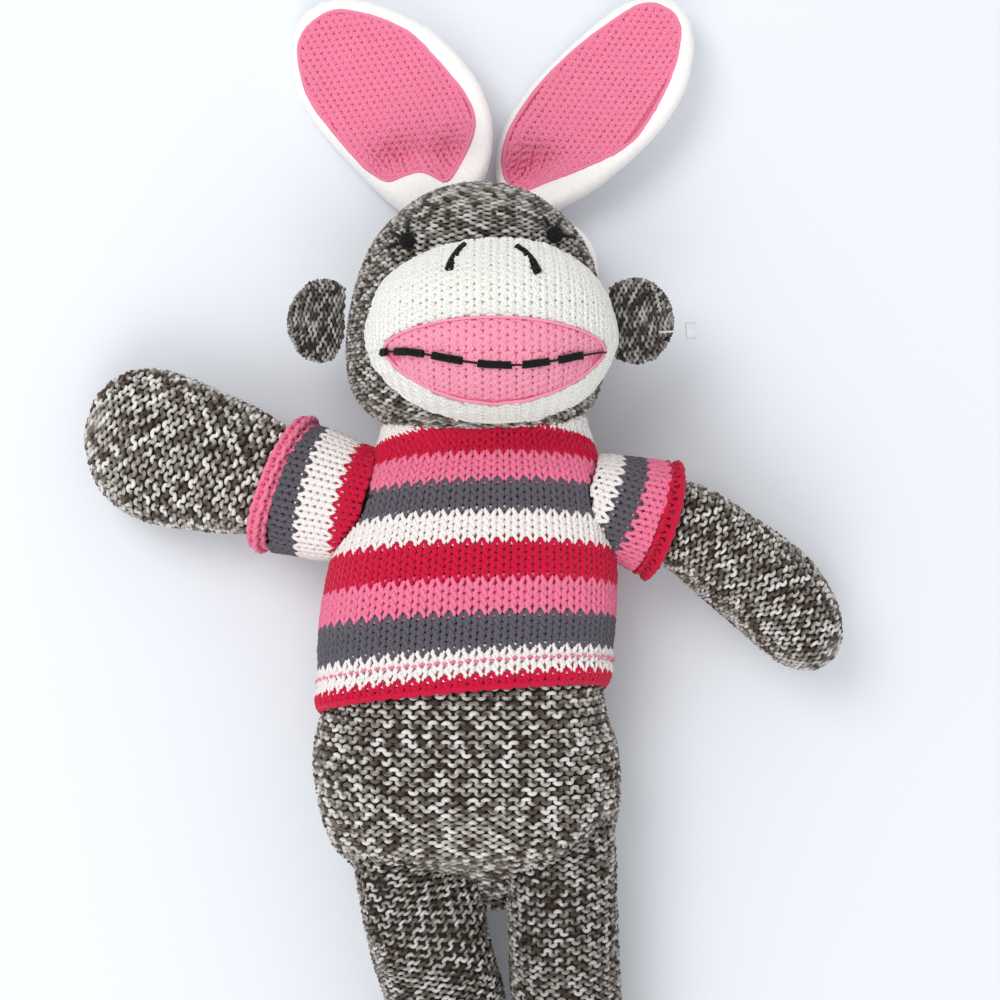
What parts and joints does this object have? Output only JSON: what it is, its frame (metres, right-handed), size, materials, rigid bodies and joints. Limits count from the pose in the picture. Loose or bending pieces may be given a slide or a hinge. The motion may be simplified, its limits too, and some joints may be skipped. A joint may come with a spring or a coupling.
{
  "type": "sock monkey doll",
  "caption": "Stuffed sock monkey doll lying on its back: marl knit body, white muzzle with pink lips, pink-lined bunny ears and a striped short-sleeved sweater.",
  "frame": {"origin": "on the flat of the torso's back, on the doll's middle line, a little above the hips; the doll lies on its back on Z = 0", "axes": "+Z out of the belly and the muzzle, +Y towards the top of the head, +X towards the right of someone who looks down at its face"},
  "size_m": [0.2684, 0.459, 0.1001],
  "materials": {
    "marl_knit": "chunky reverse knit in brown and cream marl yarn",
    "polyester_fibre": "loose white fibre",
    "white_knit": "fine white knit",
    "lip_pink_knit": "fine pink knit",
    "white_fleece": "short white fleece",
    "ear_pink_knit": "fine pink knit",
    "sweater_knit": "striped knit: crimson, pink, grey and white",
    "crimson_knit": "crimson knit",
    "black_thread": "thick black embroidery thread",
    "black_bead": "gloss black bead",
    "clear_plastic": "clear plastic"
  },
  "bodies": {
    "torso": {"torso_skin": "marl_knit", "torso_stuffing": "polyester_fibre", "sweater_body": "sweater_knit", "sweater_hem": "crimson_knit", "hem_thread": "sweater_knit", "sweater_neckband": "sweater_knit"},
    "neck": {"neck_stub": "marl_knit"},
    "head": {"head_skin": "marl_knit", "head_stuffing": "polyester_fibre", "muzzle_skin": "white_knit", "muzzle_stuffing": "polyester_fibre", "lips_panel": "lip_pink_knit", "mouth_stitch": "black_thread", "nostril_left": "black_thread", "nostril_right": "black_thread", "eye_left": "black_bead", "eye_right": "black_bead", "ear_band": "white_fleece", "lash_left_1": "black_thread", "lash_left_2": "black_thread", "lash_left_3": "black_thread", "lash_right_1": "black_thread", "lash_right_2": "black_thread", "lash_right_3": "black_thread"},
    "arm_left": {"arm_skin_left": "marl_knit", "arm_stuffing_left": "polyester_fibre", "sleeve_left": "sweater_knit", "cuff_left": "crimson_knit"},
    "arm_right": {"arm_skin_right": "marl_knit", "arm_stuffing_right": "polyester_fibre", "sleeve_right": "sweater_knit", "cuff_right": "crimson_knit"},
    "leg_left": {"leg_skin_left": "marl_knit", "leg_stuffing_left": "polyester_fibre"},
    "leg_right": {"leg_skin_right": "marl_knit", "leg_stuffing_right": "polyester_fibre"},
    "monkey_ear_left": {"monkey_ear_left": "marl_knit"},
    "monkey_ear_right": {"monkey_ear_right": "marl_knit", "tag_fastener": "clear_plastic"},
    "bunny_ear_left": {"bunny_ear_back_left": "white_fleece", "bunny_ear_lining_left": "ear_pink_knit"},
    "bunny_ear_right": {"bunny_ear_back_right": "white_fleece", "bunny_ear_lining_right": "ear_pink_knit"}
  },
  "joints": [
    {"name": "head_turn", "type": "hinge", "parent": "torso", "child": "neck", "pos_m": [0.0022, 0.114, 0.0362], "axis": [0, 1, 0], "range_deg": [-45, 45], "deforming": ["sweater_neckband"]},
    {"name": "head_nod", "type": "hinge", "parent": "neck", "child": "head", "pos_m": [0.0022, 0.114, 0.0362], "axis": [1, 0, 0], "range_deg": [-12, 10]},
    {"name": "shoulder_left", "type": "hinge", "parent": "torso", "child": "arm_left", "pos_m": [-0.04512, 0.09925, 0.03434], "axis": [0.3007, 0.9537, 0], "range_deg": [-35, 55], "deforming": ["sleeve_left"]},
    {"name": "shoulder_right", "type": "hinge", "parent": "torso", "child": "arm_right", "pos_m": [0.04761, 0.0995, 0.03445], "axis": [0, -1, 0], "range_deg": [-35, 45], "deforming": ["sleeve_right"]},
    {"name": "hip_left", "type": "hinge", "parent": "torso", "child": "leg_left", "pos_m": [-0.02594, -0.02615, 0.04555], "axis": [-0.9925, -0.1219, 0], "range_deg": [-8, 85]},
    {"name": "hip_right", "type": "hinge", "parent": "torso", "child": "leg_right", "pos_m": [0.02828, -0.02266, 0.04555], "axis": [-0.9994, -0.0349, 0], "range_deg": [-8, 85]},
    {"name": "monkey_ear_fold_left", "type": "hinge", "parent": "head", "child": "monkey_ear_left", "pos_m": [-0.04722, 0.16147, 0.0463], "axis": [0.1212, 0.9926, 0], "range_deg": [-35, 35], "stiffness_Nm_per_rad": 0.01},
    {"name": "monkey_ear_fold_right", "type": "hinge", "parent": "head", "child": "monkey_ear_right", "pos_m": [0.04607, 0.16175, 0.0463], "axis": [0.0574, -0.9984, 0], "range_deg": [-35, 35], "stiffness_Nm_per_rad": 0.01},
    {"name": "bunny_ear_fold_left", "type": "hinge", "parent": "head", "child": "bunny_ear_left", "pos_m": [-0.0035, 0.20101, 0.01091], "axis": [0.7737, 0.5856, 0.2417], "range_deg": [-12, 24], "stiffness_Nm_per_rad": 0.02},
    {"name": "bunny_ear_fold_right", "type": "hinge", "parent": "head", "child": "bunny_ear_right", "pos_m": [0.01329, 0.19995, 0.01013], "axis": [0.7861, -0.5148, 0.342], "range_deg": [-12, 24], "stiffness_Nm_per_rad": 0.02}
  ]
}
